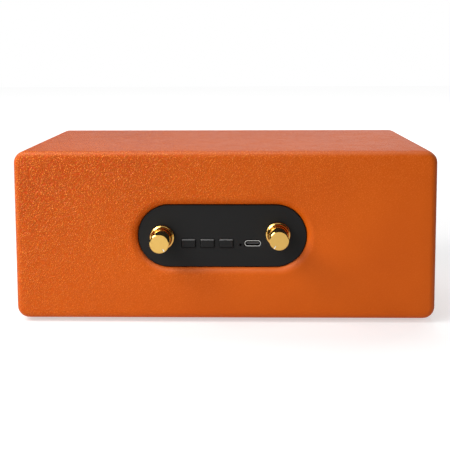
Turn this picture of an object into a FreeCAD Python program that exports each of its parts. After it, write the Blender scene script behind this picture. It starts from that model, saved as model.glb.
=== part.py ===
"""Portable speaker in a leather-covered cabinet, seen with its control side at -Y and its grille at +Y.

The cabinet is a board box with rounded edges, wrapped in leather that rolls into a stadium-shaped recess at the
rear and into the grille opening at the front. The recess holds a moulded control panel with two turned knobs on
rotary potentiometers, three push buttons, a charge light and a USB-C socket. The baffle behind the grille carries
two full-range drivers and a passive radiator. Battery and amplifier stand on the cabinet floor.
All sizes are millimetres. The origin is the middle of the whole object's footprint, +Z is up.
"""
import FreeCAD, Part
import math
import os

Vector = FreeCAD.Vector

# ---- driving dimensions ----
body_width = 230.0
body_depth = 126.0
body_height = 92.8
foot_height = 2.0
long_edge_radius = 6.5       # the four edges that run front to back
rim_radius = 4.0             # the edges round the rear face and the front rim
leather = 1.2
side_wall = 7.0
rear_wall = 8.0
knob_reach = 15.0            # knob tip beyond the rear face

recess_width = 92.6          # leather opening round the control panel
recess_height = 34.8
recess_lip = 4.5             # how softly the leather rolls into the recess
recess_depth = 3.0
panel_x = -1.4
panel_z_drop = 0.5           # the recess sits this far below the middle of the cabinet
knob_at = {"left": (-34.2, -0.9), "right": (29.0, 0.8)}    # x, and height over the middle of the cabinet
button_x = (-19.8, -9.5, 0.8)
control_z_drop = 4.6         # buttons and socket sit this far below the middle of the cabinet
light_x = 8.6
light_z_drop = 5.4
socket_x = 15.3
pointer_angle = 147.5        # knob pointer at either end stop, from upright

driver_x = 70.0
baffle_setback = 12.0
baffle_thick = 6.0

# ---- places worked out from them ----
rear_y = -(body_depth + knob_reach) / 2 + knob_reach
front_y = rear_y + body_depth
mid_z = foot_height + body_height / 2
shell_skin = leather + side_wall
cavity_width = body_width - 2 * shell_skin
cavity_height = body_height - 2 * shell_skin
cavity_radius = 3.0
floor_z = mid_z - cavity_height / 2
flap_depth = 9.0             # how far the leather turns into the grille opening
front_lip = 2.2
wall_inside = leather + rear_wall
panel_z = mid_z - panel_z_drop
control_z = mid_z - control_z_drop


def behind(depth):
    """Y of a point this far in from the rear face; negative depths stand out of it."""
    return rear_y + depth


def inside_front(depth):
    """Y of a point this far back from the front rim."""
    return front_y - depth


# ---- shape helpers ----
def box(x_range, y_range, z_range):
    size = [r[1] - r[0] for r in (x_range, y_range, z_range)]
    return Part.makeBox(*size, Vector(x_range[0], y_range[0], z_range[0]))


def rod(x, z, radius, y_from, y_to):
    low, high = sorted((y_from, y_to))
    return Part.makeCylinder(radius, high - low, Vector(x, low, z), Vector(0, 1, 0))


def tube(x, z, outer, inner, y_from, y_to):
    return rod(x, z, outer, y_from, y_to).cut(rod(x, z, inner, y_from, y_to))


def post(x, y, radius, z_from, z_to):
    return Part.makeCylinder(radius, z_to - z_from, Vector(x, y, z_from))


def rounded_prism(x, z, width, height, radius, y_from, y_to):
    """A prism along Y whose section is a rectangle with round corners; a stadium when radius is half its height."""
    low, high = sorted((y_from, y_to))
    w, h, r = width / 2, height / 2, radius
    edges = []
    for sx, sz, turn in ((1, 1, 0), (-1, 1, 90), (-1, -1, 180), (1, -1, 270)):
        centre = Vector(x + sx * (w - r), low, z + sz * (h - r))
        points = [
            centre + Vector(r * math.cos(math.radians(turn + a)), 0, r * math.sin(math.radians(turn + a)))
            for a in (0, 45, 90)
        ]
        edges.append((points[0], points[2], Part.Arc(*points).toShape()))
    outline = []
    for i, (_, end, arc) in enumerate(edges):
        start_of_next = edges[(i + 1) % 4][0]
        outline.append(arc)
        if end.distanceToPoint(start_of_next) > 1e-6:
            outline.append(Part.makeLine(end, start_of_next))
    return Part.Face(Part.Wire(outline)).extrude(Vector(0, high - low, 0))


def stadium(x, z, width, height, y_from, y_to):
    return rounded_prism(x, z, width, height, height / 2 - 0.001, y_from, y_to)


def outline_face(start, *steps):
    """A face in the XY plane. Each step is a point for a straight edge, or (point on the arc, end point)."""
    def place(p):
        return Vector(p[0], p[1], 0)

    edges = []
    here = start
    for step in steps + (start,):
        if isinstance(step[0], tuple):
            edges.append(Part.Arc(place(here), place(step[0]), place(step[1])).toShape())
            here = step[1]
        elif place(here).distanceToPoint(place(step)) > 1e-6:
            edges.append(Part.makeLine(place(here), place(step)))
            here = step
    return Part.Face(Part.Wire(edges))


def turned(x, z, start, *steps, angle=360.0):
    """A solid turned about the Y line through (x, z). Points are (radius, y)."""
    solid = outline_face(start, *steps).revolve(Vector(0, 0, 0), Vector(0, 1, 0), angle)
    solid.translate(Vector(x, 0, z))
    return solid


def round_edges(solid, radius, wanted):
    edges = [e for e in solid.Edges if wanted(e)]
    return solid.makeFillet(radius, edges)


def at_y(y):
    def wanted(edge):
        b = edge.BoundBox
        return abs(b.YMin - y) < 1e-4 and abs(b.YMax - y) < 1e-4
    return wanted


def fuse(first, *others):
    solid = first.multiFuse(list(others))
    return solid.removeSplitter()


def save(name, *solids):
    shape = solids[0] if len(solids) == 1 else Part.makeCompound(list(solids))
    shape.exportStep("parts/" + name + ".step")


def screw(x, z, head_y, length, shank, head, way, head_height=1.6):
    """A pan-head screw along Y with a cross recess; way is +1 when its point looks towards +Y."""
    body = rod(x, z, shank, head_y, head_y + way * length)
    cap = rod(x, z, head, head_y - way * head_height, head_y)
    cap = round_edges(cap, head_height * 0.45, at_y(head_y - way * head_height))
    slot_y = sorted((head_y - way * head_height, head_y - way * head_height * 0.45))
    arm, half = head * 0.55, head * 0.13
    cross = box((x - arm, x + arm), slot_y, (z - half, z + half)).fuse(
        box((x - half, x + half), slot_y, (z - arm, z + arm)))
    return fuse(cap.cut(cross), body)


# ---- cabinet ----
def wrapped_block(skin):
    """The cabinet's block as it is this far below the leather's surface, with its two openings."""
    block = rounded_prism(0, mid_z, body_width - 2 * skin, body_height - 2 * skin, long_edge_radius - skin,
                          rear_y + skin, front_y - skin)
    block = round_edges(block, rim_radius - skin, lambda e: at_y(rear_y + skin)(e) or at_y(front_y - skin)(e))
    mouth = 2 * (skin - leather)
    pocket = rounded_prism(0, mid_z, cavity_width + mouth, cavity_height + mouth, cavity_radius + skin - leather,
                           inside_front(flap_depth), front_y + 1)
    window = stadium(panel_x, panel_z, recess_width + 2 * skin, recess_height + 2 * skin,
                     rear_y - 1, behind(wall_inside))
    block = block.cut(pocket).cut(window)

    def inner(edge, y):
        b = edge.BoundBox
        return at_y(y)(edge) and b.ZMax < mid_z + cavity_height / 2 + 1 and b.ZMin > floor_z - 1 \
            and b.XMax < cavity_width / 2 + 1 and b.XMin > -cavity_width / 2 - 1

    block = round_edges(block, front_lip - skin, lambda e: inner(e, front_y - skin))
    return round_edges(block, recess_lip - skin, lambda e: inner(e, rear_y + skin))


panel_flange_width = 108.0
panel_flange_height = 50.0
panel_screws_at = [(panel_x + sx * 28.0, panel_z + sz * 21.6) for sx in (-1, 1) for sz in (-1, 1)]
panel_screws_at += [(panel_x + sx * 50.4, panel_z) for sx in (-1, 1)]
baffle_screws_at = [(sx * 102.4, mid_z + sz * 21.0) for sx in (-1, 1) for sz in (-1, 1)]
baffle_screws_at += [(sx * 36.0, mid_z + sz * 33.2) for sx in (-1, 1) for sz in (-1, 1)]
pegs_at = [(sx * 100.5, mid_z + sz * 30.5) for sx in (-1, 1) for sz in (-1, 1)]
pegs_at += [(sx * 35.5, mid_z + sz * 22.0) for sx in (-1, 1) for sz in (-1, 1)]

panel_screw_y = behind(wall_inside + 1.0 + 2.5)
ledge_y = inside_front(baffle_setback + baffle_thick + 1.5)


def cabinet():
    filled = wrapped_block(leather)
    save("leather_wrap", wrapped_block(0.0).cut(filled))
    cavity = rounded_prism(0, mid_z, cavity_width, cavity_height, cavity_radius, behind(wall_inside), front_y)
    shell = filled.cut(cavity)
    for x, z in panel_screws_at:
        shell = shell.cut(rod(x, z, 1.4, behind(4.4), behind(wall_inside)))
    save("cabinet_shell", shell)

    ledge = rounded_prism(0, mid_z, cavity_width, cavity_height, cavity_radius, ledge_y - 10, ledge_y)
    ledge = ledge.cut(rounded_prism(0, mid_z, cavity_width - 18, cavity_height - 14, 2.0, ledge_y - 10, ledge_y))
    for x, z in baffle_screws_at:
        ledge = ledge.cut(rod(x, z, 1.5, ledge_y - 10, ledge_y))
    save("baffle_ledge", ledge)


def foam_seals():
    """A foam ring under the control panel's flange and another between the ledge and the baffle."""
    y = (behind(wall_inside), behind(wall_inside + 1.0))
    panel_ring = stadium(panel_x, panel_z, panel_flange_width - 2, panel_flange_height - 2, *y)
    panel_ring = panel_ring.cut(stadium(panel_x, panel_z, recess_width + 3.4, recess_height + 3.4, *y))
    for x, z in panel_screws_at:
        panel_ring = panel_ring.cut(rod(x, z, 1.8, *y))
    y = (ledge_y, ledge_y + 1.5)
    baffle_ring = rounded_prism(0, mid_z, cavity_width - 1, cavity_height - 1, cavity_radius, *y)
    baffle_ring = baffle_ring.cut(rounded_prism(0, mid_z, cavity_width - 16, cavity_height - 12.5, 2.0, *y))
    for x, z in baffle_screws_at:
        baffle_ring = baffle_ring.cut(rod(x, z, 1.9, *y))
    save("foam_seals", panel_ring, baffle_ring)


def feet():
    def foot(x, y):
        pad = Part.makeCone(9.0, 9.6, foot_height, Vector(x, y, 0))
        return round_edges(pad, 0.5, lambda e: e.BoundBox.ZMax < 0.01)

    inset = 22.0
    save("feet", *[foot(sx * (body_width / 2 - inset), y)
                   for sx in (-1, 1) for y in (rear_y + inset, front_y - inset)])


# ---- control panel and what it carries ----
plate_thick = 2.5
panel_face = recess_depth
board_depth = panel_face + plate_thick + 6.8
board_thick = 1.6
board_width = 85.0
board_height = 26.6
board_screws_at = [(panel_x + dx, panel_z + dz) for dx, dz in ((-22.5, 10.6), (17.0, 10.6), (-22.5, -10.8), (19.5, -10.8))]
button_width = 7.6
button_height = 4.5
button_proud = 0.9
button_travel = 0.35
bushing = 3.5
shaft = 3.0
socket_width = 8.94
socket_height = 3.26


def control_panel():
    back = behind(panel_face + plate_thick)
    flange_y = behind(wall_inside + 1.0)
    face = stadium(panel_x, panel_z, recess_width - 0.4, recess_height - 0.4, behind(panel_face), flange_y)
    face = round_edges(face, 0.5, at_y(behind(panel_face)))
    flange = stadium(panel_x, panel_z, panel_flange_width, panel_flange_height, flange_y, flange_y + 2.5)
    hollow = stadium(panel_x, panel_z, recess_width - 4.4, recess_height - 4.4, back, flange_y + 2.5)
    tray = fuse(face, flange).cut(hollow)
    bosses = [tube(x, z, 2.6, 0.95, back, behind(board_depth)) for x, z in board_screws_at]
    tray = fuse(tray, *bosses)
    holes = [rod(x, mid_z + lift, bushing + 0.1, behind(panel_face - 1), back) for x, lift in knob_at.values()]
    holes += [rounded_prism(x, control_z, button_width + 0.5, button_height + 0.5, 0.9, behind(panel_face - 1), back)
              for x in button_x]
    holes += [rod(x, z, 1.6, flange_y, flange_y + 2.5) for x, z in panel_screws_at]
    holes.append(rod(light_x, mid_z - light_z_drop, 0.75, behind(panel_face - 1), back))
    tray = tray.cut(Part.makeCompound(holes))
    port = stadium(socket_x, control_z, socket_width + 0.6, socket_height + 0.6, behind(panel_face - 1), back)
    tray = tray.cut(port)
    lead_in = 0.35

    def port_rim(edge):
        b = edge.BoundBox
        return at_y(behind(panel_face))(edge) and b.XMin > socket_x - 6 and b.XMax < socket_x + 6 \
            and abs(b.ZMin + b.ZMax - 2 * control_z) < 8

    tray = tray.makeChamfer(lead_in, [e for e in tray.Edges if port_rim(e)])
    save("control_panel", tray)


def control_board():
    front, back = behind(board_depth), behind(board_depth + board_thick)
    board = rounded_prism(panel_x, panel_z, board_width, board_height, 12.0, front, back)
    for x, z in board_screws_at:
        board = board.cut(rod(x, z, 1.1, front, back))
    save("control_board", board)

    switch_top = board_depth - 3.5
    switches = []
    for x in button_x:
        case = box((x - 3, x + 3), (behind(switch_top), front), (control_z - 3, control_z + 3))
        case = round_edges(case, 0.5, lambda e: abs(e.BoundBox.YLength - 3.5) < 1e-4)
        switches.append(case.cut(rod(x, control_z, 1.85, behind(switch_top), behind(switch_top + 1.3))))
    save("switch_cases", *switches)

    light_z = mid_z - light_z_drop
    pipe = rod(light_x, light_z, 0.65, behind(panel_face + 1.8), behind(board_depth - 1.1))
    collar = rod(light_x, light_z, 1.2, behind(panel_face + plate_thick), behind(panel_face + plate_thick + 1))
    save("light_pipe", fuse(pipe, collar))
    save("charge_light", box((light_x - 0.8, light_x + 0.8), (behind(board_depth - 1.0), front),
                             (light_z - 0.4, light_z + 0.4)))


def potentiometer(side, x, z):
    front = behind(panel_face + plate_thick)
    top = behind(panel_face - 2.6)
    case = box((x - 4.9, x + 4.9), (front, behind(board_depth)), (z - 5.9, z + 5.9))
    case = round_edges(case, 0.6, lambda e: abs(e.BoundBox.YLength - (board_depth - panel_face - plate_thick)) < 1e-4)
    neck = rod(x, z, bushing, top, front)
    bore = rod(x, z, shaft + 0.05, top, behind(board_depth - 1.2))
    save("pot_case_" + side, fuse(case, neck).cut(bore))


def pot_nuts():
    nuts = []
    for x, lift in knob_at.values():
        z = mid_z + lift
        sides = [Vector(x + 5.6 * math.cos(math.radians(a)), behind(0.5), z + 5.6 * math.sin(math.radians(a)))
                 for a in range(0, 361, 60)]
        nut = Part.Face(Part.makePolygon(sides)).extrude(Vector(0, 2.0, 0))
        washer = rod(x, z, 5.6, behind(2.5), behind(panel_face))
        nuts.append(fuse(nut, washer).cut(rod(x, z, bushing, behind(0.4), behind(panel_face))))
    save("pot_nuts", *nuts)


def knob(side, x, z, pointer):
    """A turned knob with a skirt, pressed on the flat of its shaft; pointer is clockwise from upright."""
    tip, skirt, barrel = -knob_reach, 6.7, 5.15
    base = panel_face - 0.6
    body = turned(
        x, z,
        (0, behind(tip)),
        (barrel - 0.4, behind(tip)),
        (barrel, behind(tip + 0.4)),
        (barrel, behind(-1.9)),
        ((barrel + 0.3, behind(-0.85)), (skirt - 0.55, behind(-0.1))),
        ((skirt - 0.15, behind(0.12)), (skirt, behind(0.55))),
        (skirt, behind(base - 0.25)),
        (skirt - 0.25, behind(base)),
        (5.95, behind(base)),
        (5.95, behind(0.2)),
        (0, behind(0.2)),
    )
    flat = shaft - 1.5
    stem = rod(x, z, shaft, behind(-9.0), behind(board_depth - 2.0))
    flat_cut = box((x - shaft, x + shaft), (behind(-9.1), behind(0.2)), (z + flat, z + shaft + 1))
    stem = stem.cut(flat_cut)
    body = body.cut(rod(x, z, shaft, behind(-9.0), behind(0.2)).cut(flat_cut))
    notch = box((x - 0.28, x + 0.28), (behind(tip), behind(tip + 0.4)), (z + 2.9, z + barrel))
    body = body.cut(notch)
    for solid in (body, stem):
        solid.rotate(Vector(x, 0, z), Vector(0, 1, 0), pointer)
    save("knob_" + side, body)
    save("pot_shaft_" + side, stem)


def push_button(number, x):
    back = panel_face + plate_thick
    cap = rounded_prism(x, control_z, button_width, button_height, 0.7,
                        behind(panel_face - button_proud), behind(back + 0.1))
    cap = round_edges(cap, 0.6, at_y(behind(panel_face - button_proud)))
    collar = rounded_prism(x, control_z, button_width + 1.9, button_height + 1.8, 0.9,
                           behind(back + 0.1), behind(back + 1.0))
    plunger_top = board_depth - 4.7
    plunger_end = board_depth - 2.2 - button_travel - 0.2
    stem = rod(x, control_z, 1.25, behind(back + 1.0), behind(plunger_top))
    save("button_cap_%d" % number, fuse(cap, collar, stem))
    save("switch_plunger_%d" % number, rod(x, control_z, 1.7, behind(plunger_top), behind(plunger_end)))


def usb_socket():
    mouth, root = behind(panel_face + 0.15), behind(board_depth)
    wall = 0.35
    outer = stadium(socket_x, control_z, socket_width, socket_height, mouth, root)
    inner = stadium(socket_x, control_z, socket_width - 2 * wall, socket_height - 2 * wall, mouth, root)
    save("usb_shell", outer.cut(inner))
    block_y = behind(board_depth - 2.2)
    block = stadium(socket_x, control_z, socket_width - 2 * wall, socket_height - 2 * wall, block_y, root)
    tongue = box((socket_x - 3.35, socket_x + 3.35), (behind(panel_face + 0.7), block_y),
                 (control_z - 0.35, control_z + 0.35))
    tongue = round_edges(tongue, 0.25, lambda e: abs(e.BoundBox.ZLength - 0.7) < 1e-4
                         and e.BoundBox.YMax < behind(panel_face + 0.8))
    save("usb_tongue", fuse(block, tongue))


# ---- baffle, grille and loudspeakers ----
driver_flange = 35.0
driver_cutout = 29.5
driver_screw_circle = 32.3
radiator_flange = 33.0
radiator_cutout = 27.6
radiator_screw_circle = 30.4
flange_thick = 2.5
flange_face = inside_front(baffle_setback - flange_thick)
roll_radius = 2.75
rubber = 0.6


def on_circle(x, radius):
    return [(x + sx * radius * math.sqrt(0.5), mid_z + sz * radius * math.sqrt(0.5))
            for sx in (-1, 1) for sz in (-1, 1)]


speaker_screws_at = on_circle(-driver_x, driver_screw_circle) + on_circle(driver_x, driver_screw_circle)
speaker_screws_at += on_circle(0.0, radiator_screw_circle)


def baffle():
    front, back = inside_front(baffle_setback), inside_front(baffle_setback + baffle_thick)
    board = rounded_prism(0, mid_z, cavity_width - 0.4, cavity_height - 0.4, cavity_radius - 0.2, back, front)
    holes = [rod(x, mid_z, driver_cutout, back, front) for x in (-driver_x, driver_x)]
    holes.append(rod(0, mid_z, radiator_cutout, back, front))
    holes += [rod(x, z, 1.4, back, front) for x, z in speaker_screws_at]
    holes += [rod(x, z, 1.7, back, front) for x, z in baffle_screws_at]
    holes += [rod(x, z, 3.0, back, front) for x, z in pegs_at]
    save("baffle", board.cut(Part.makeCompound(holes)))
    cups = []
    for x, z in pegs_at:
        cup = fuse(rod(x, z, 3.0, back, front), rod(x, z, 3.7, front, front + 0.6))
        cups.append(cup.cut(rod(x, z, 2.0, back + 0.8, front + 0.6)))
    save("grille_cups", *cups)


def grille():
    cloth_y, face_y, back_y = inside_front(1.8), inside_front(2.4), inside_front(6.4)
    width, height = cavity_width - 2 * leather - 1.6, cavity_height - 2 * leather - 1.6
    bar = 7.5
    frame = rounded_prism(0, mid_z, width, height, 2.4, back_y, face_y)
    frame = frame.cut(rounded_prism(0, mid_z, width - 2 * bar, height - 2 * bar, 6.0, back_y, face_y))
    ribs = [box((sx * 35.5 - 2.6, sx * 35.5 + 2.6), (back_y, face_y - 0.8),
                (mid_z - height / 2 + 1, mid_z + height / 2 - 1)) for sx in (-1, 1)]
    pegs = [rod(x, z, 1.95, inside_front(baffle_setback + 3.6), back_y + 0.5) for x, z in pegs_at]
    save("grille_frame", fuse(frame, *ribs, *pegs))
    cloth = rounded_prism(0, mid_z, width + 1.0, height + 1.0, 2.9, back_y, cloth_y)
    cloth = round_edges(cloth, 0.8, at_y(cloth_y))
    save("grille_cloth", cloth.cut(rounded_prism(0, mid_z, width, height, 2.4, back_y, face_y)))


def surround(x, roll_centre, land_out):
    """The rubber half-roll between a cone and its frame, with a flat land either side."""
    outer, inner = roll_radius + rubber / 2, roll_radius - rubber / 2
    face, top = flange_face, flange_face + rubber
    reach = math.sqrt(outer ** 2 - rubber ** 2)
    return turned(
        x, mid_z,
        (land_out, face),
        (roll_centre + inner, face),
        ((roll_centre, face + inner), (roll_centre - inner, face)),
        (roll_centre - inner - 1.5, face),
        (roll_centre - inner - 1.5, top),
        (roll_centre - reach, top),
        ((roll_centre, face + outer), (roll_centre + reach, top)),
        (land_out, top),
    )


def driver(side, x):
    def at(depth):
        return flange_face - depth

    basket = turned(
        x, mid_z,
        (driver_flange, at(0)), (driver_flange, at(2.5)), (28.8, at(2.5)), (24.0, at(14)), (24.0, at(19)),
        (13.0, at(19)), (13.0, at(17.6)), (22.6, at(17.6)), (22.6, at(15.2)), (20.6, at(15.2)),
        (20.6, at(14)), (22.8, at(14)), (27.5, at(2.5)), (26.6, at(2.5)), (26.6, at(0)),
    )
    for turn in (0, 90, 180, 270):
        window = turned(0, 0, (19.0, at(13.0)), (33.0, at(13.0)), (33.0, at(3.6)), (19.0, at(3.6)), angle=56)
        window.rotate(Vector(0, 0, 0), Vector(0, 1, 0), turn - 28)
        window.translate(Vector(x, 0, mid_z))
        basket = basket.cut(window)
    for hx, hz in on_circle(x, driver_screw_circle):
        basket = basket.cut(rod(hx, hz, 1.5, at(0), at(2.5)))
    save("driver_frame_" + side, basket)
    save("surround_" + side, surround(x, 23.75, 29.6))

    cone = turned(
        x, mid_z,
        (21.3, at(0)), (19.8, at(0)), ((14.3, at(5.3)), (10.0, at(9.6))), (10.0, at(10.6)),
        ((14.7, at(6.2)), (20.2, at(0.8))), (21.3, at(0.8)),
    )
    save("cone_" + side, cone)
    dome_radius, dome_top, dome_wall = 18.5, 2.6, 0.4
    dome_centre = Vector(x, at(dome_top + dome_radius), mid_z)
    dome = Part.makeSphere(dome_radius, dome_centre).cut(Part.makeSphere(dome_radius - dome_wall, dome_centre))
    dome = dome.common(rod(x, mid_z, 12.6, at(10.0), at(0)))
    save("dust_cap_" + side, dome.cut(cone))
    former = tube(x, mid_z, 10.0, 9.6, at(9.0), at(23.0))
    winding = tube(x, mid_z, 10.6, 10.0, at(18.2), at(22.8))
    save("voice_coil_" + side, former, winding)

    waves, spider_in, spider_out = 3, 11.6, 20.3
    half = (spider_out - spider_in) / (2 * waves)
    sheet, swell, spider_y = 0.5, 0.55, at(13.5)
    ridges, furrows = [], []
    for i in range(2 * waves):
        lift = swell if i % 2 == 0 else -swell
        middle, end = spider_in + half * (i + 0.5), spider_in + half * (i + 1)
        start = spider_in + half * i
        ridges.append(((middle, spider_y + lift), (end, spider_y)))
        furrows.append(((middle, spider_y - sheet + lift), (start, spider_y - sheet)))
    save("spider_" + side, turned(
        x, mid_z,
        (10.0, spider_y), (spider_in, spider_y), *ridges, (22.4, spider_y), (22.4, spider_y - sheet),
        (spider_out, spider_y - sheet), *reversed(furrows), (10.0, spider_y - sheet),
    ))

    top_plate = tube(x, mid_z, 23.0, 11.1, at(19), at(22))
    pole = rod(x, mid_z, 9.2, at(19), at(31))
    back_plate = round_edges(rod(x, mid_z, 23.5, at(31), at(35)), 1.0, at_y(at(35)))
    yoke = fuse(pole, back_plate).cut(rod(x, mid_z, 2.5, at(19), at(35)))
    save("motor_plates_" + side, top_plate, yoke)
    save("magnet_" + side, tube(x, mid_z, 25.5, 14.0, at(22), at(31)))


def radiator():
    def at(depth):
        return flange_face - depth

    frame = turned(
        0, mid_z,
        (radiator_flange, at(0)), (radiator_flange, at(2.5)), (27.3, at(2.5)), (27.3, at(9.0)),
        (25.6, at(9.0)), (25.6, at(0)),
    )
    for hx, hz in on_circle(0.0, radiator_screw_circle):
        frame = frame.cut(rod(hx, hz, 1.5, at(0), at(2.5)))
    save("radiator_frame", frame)
    save("radiator_surround", surround(0.0, 22.7, 27.6))
    save("radiator_plate", turned(
        0, mid_z,
        (0, at(1.4)), (15.0, at(1.4)), (18.6, at(0)), (20.2, at(0)), (20.2, at(1.2)), (19.0, at(1.2)),
        (15.4, at(2.6)), (0, at(2.6)),
    ))
    save("radiator_weight", round_edges(rod(0, mid_z, 12.0, at(2.6), at(7.6)), 0.8, at_y(at(7.6))))


def screws():
    """One node for each size of screw: the same short one holds the panel's flange and the loudspeakers."""
    short = [screw(x, z, panel_screw_y, 8.0, 1.4, 2.6, -1) for x, z in panel_screws_at]
    short += [screw(x, z, flange_face, 8.0, 1.4, 2.6, -1) for x, z in speaker_screws_at]
    save("short_screws", *short)
    front = inside_front(baffle_setback)
    save("baffle_screws", *[screw(x, z, front, 14.5, 1.5, 2.9, -1) for x, z in baffle_screws_at])
    back = behind(board_depth + board_thick)
    save("board_screws", *[screw(x, z, back, 5.0, 0.95, 1.9, -1, 1.2) for x, z in board_screws_at])


# ---- battery and amplifier ----
amp_x, amp_y = -73.0, rear_y + 46.0
battery_y = rear_y + 56.0


def amplifier():
    lift = 6.0
    board_z = floor_z + lift
    half_x, half_y = 29.0, 21.0
    posts_at = [(amp_x + sx * (half_x - 3.5), amp_y + sy * (half_y - 3.5)) for sx in (-1, 1) for sy in (-1, 1)]
    board = box((amp_x - half_x, amp_x + half_x), (amp_y - half_y, amp_y + half_y), (board_z, board_z + 1.6))
    board = round_edges(board, 2.0, lambda e: abs(e.BoundBox.ZLength - 1.6) < 1e-4)
    for x, y in posts_at:
        board = board.cut(post(x, y, 1.1, board_z, board_z + 1.6))
    save("amp_board", board)
    posts = []
    for x, y in posts_at:
        stand = post(x, y, 2.6, floor_z, board_z).fuse(post(x, y, 1.05, board_z, board_z + 1.6))
        head = Part.makeCylinder(2.1, 1.3, Vector(x, y, board_z + 1.6))
        posts.append(fuse(stand, head))
    save("amp_posts", *posts)

    chip_top = board_z + 1.6 + 2.0
    sink = box((amp_x - 12, amp_x + 12), (amp_y - 12, amp_y + 12), (chip_top, chip_top + 2.0))
    fins = [box((amp_x - 12 + i * 3.0, amp_x - 10.8 + i * 3.0), (amp_y - 12, amp_y + 12),
                (chip_top + 2.0, chip_top + 11.0)) for i in range(8)]
    save("amp_heatsink", fuse(sink, *fins))
    chip = box((amp_x - 5, amp_x + 5), (amp_y - 5, amp_y + 5), (board_z + 1.6, chip_top))
    cans = [post(amp_x + dx, amp_y + dy, 4.0, board_z + 1.6, board_z + 13.0)
            for dx, dy in ((-20, -10), (-20, 4), (20, -10))]
    cans = [round_edges(can, 0.7, lambda e: e.BoundBox.ZMin > board_z + 12.9) for can in cans]
    coil = tube(0, 0, 5.5, 2.5, 0, 5)
    coil.rotate(Vector(0, 0, 0), Vector(1, 0, 0), 90)
    coil.translate(Vector(amp_x + 20, amp_y + 6, board_z + 1.6))
    save("amp_parts", chip, *cans, coil)


def battery():
    cell_radius, cell_length = 9.25, 65.0
    cell_z = floor_z + 2.2 + cell_radius
    cells = []
    for sy in (-1, 1):
        y = battery_y + sy * 9.6
        cell = Part.makeCylinder(cell_radius, cell_length, Vector(-cell_length / 2, y, cell_z), Vector(1, 0, 0))
        cell = round_edges(cell, 0.8, lambda e: e.BoundBox.XLength < 1e-4)
        stud = Part.makeCylinder(2.8, 1.2, Vector(cell_length / 2, y, cell_z), Vector(1, 0, 0))
        cells.append(fuse(cell, stud))
    save("battery_cells", *cells)
    tray = box((-36.5, 36.5), (battery_y - 21, battery_y + 21), (floor_z, floor_z + 11.0))
    tray = tray.cut(box((-34.5, 34.5), (battery_y - 19, battery_y + 19), (floor_z + 9.0, floor_z + 11.0)))
    for sy in (-1, 1):
        y = battery_y + sy * 9.6
        seat = Part.makeCylinder(cell_radius + 0.05, 69.0, Vector(-34.5, y, cell_z), Vector(1, 0, 0))
        tray = tray.cut(seat)
    ears_at = [(-41.0, battery_y), (41.0, battery_y)]
    for x, y in ears_at:
        ear = box((min(x, x * 0.85) - 0.1, max(x, x * 0.85) + 0.1), (y - 5, y + 5), (floor_z, floor_z + 2.5))
        tray = fuse(tray, ear, post(x, y, 5.0, floor_z, floor_z + 2.5))
    for x, y in ears_at:
        tray = tray.cut(post(x, y, 1.6, floor_z, floor_z + 2.5))
    save("battery_tray", tray)
    screws = []
    for x, y in ears_at:
        head = Part.makeCylinder(2.8, 1.6, Vector(x, y, floor_z + 2.5))
        head = round_edges(head, 0.6, lambda e: e.BoundBox.ZMin > floor_z + 4.0)
        screws.append(fuse(head, post(x, y, 1.4, floor_z, floor_z + 2.5)))
    save("battery_screws", *screws)


def main():
    os.makedirs("parts", exist_ok=True)
    cabinet()
    foam_seals()
    feet()
    control_panel()
    control_board()
    for side, pointer in (("left", pointer_angle), ("right", -pointer_angle)):
        x, lift = knob_at[side]
        potentiometer(side, x, mid_z + lift)
        knob(side, x, mid_z + lift, pointer)
    pot_nuts()
    for number, x in enumerate(button_x, 1):
        push_button(number, x)
    usb_socket()
    baffle()
    grille()
    for side, x in (("left", -driver_x), ("right", driver_x)):
        driver(side, x)
    radiator()
    screws()
    amplifier()
    battery()


main()
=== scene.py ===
import bmesh
import bpy
import math
import numpy as np
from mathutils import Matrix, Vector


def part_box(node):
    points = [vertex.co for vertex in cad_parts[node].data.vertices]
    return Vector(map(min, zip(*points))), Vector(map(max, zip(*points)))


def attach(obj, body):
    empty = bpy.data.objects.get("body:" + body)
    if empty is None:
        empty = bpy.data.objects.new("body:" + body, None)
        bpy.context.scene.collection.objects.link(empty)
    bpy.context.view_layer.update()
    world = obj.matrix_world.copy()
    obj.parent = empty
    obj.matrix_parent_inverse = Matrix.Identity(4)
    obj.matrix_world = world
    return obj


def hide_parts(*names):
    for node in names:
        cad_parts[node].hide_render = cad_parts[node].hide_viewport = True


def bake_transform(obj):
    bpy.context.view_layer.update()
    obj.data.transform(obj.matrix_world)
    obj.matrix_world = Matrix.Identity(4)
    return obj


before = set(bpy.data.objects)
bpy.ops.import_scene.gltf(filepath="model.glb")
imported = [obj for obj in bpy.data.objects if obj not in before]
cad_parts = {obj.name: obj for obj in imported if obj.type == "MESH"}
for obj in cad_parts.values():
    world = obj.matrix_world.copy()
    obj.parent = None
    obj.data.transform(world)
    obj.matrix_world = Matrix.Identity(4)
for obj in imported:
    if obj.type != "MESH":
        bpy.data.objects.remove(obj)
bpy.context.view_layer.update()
mm = 0.001


def fromHex(colour):  # sRGB hex to the linear values that sockets want
    values = [int(colour[i:i + 2], 16) / 255 for i in (0, 2, 4)]
    return tuple(v / 12.92 if v <= 0.04045 else ((v + 0.055) / 1.055) ** 2.4 for v in values) + (1.0,)


def addNode(tree, kind, settings=None, **links):  # links name a socket and give a value or another socket
    node = tree.nodes.new(kind)
    for name, value in (settings or {}).items():
        setattr(node, name, value)
    for name, value in links.items():
        key = int(name[1:]) if name[0] == "i" and name[1:].isdigit() else name.replace("_", " ")
        socket = node.inputs[key]
        if isinstance(value, bpy.types.NodeSocket):
            tree.links.new(value, socket)
        else:
            socket.default_value = value
    return node


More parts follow.
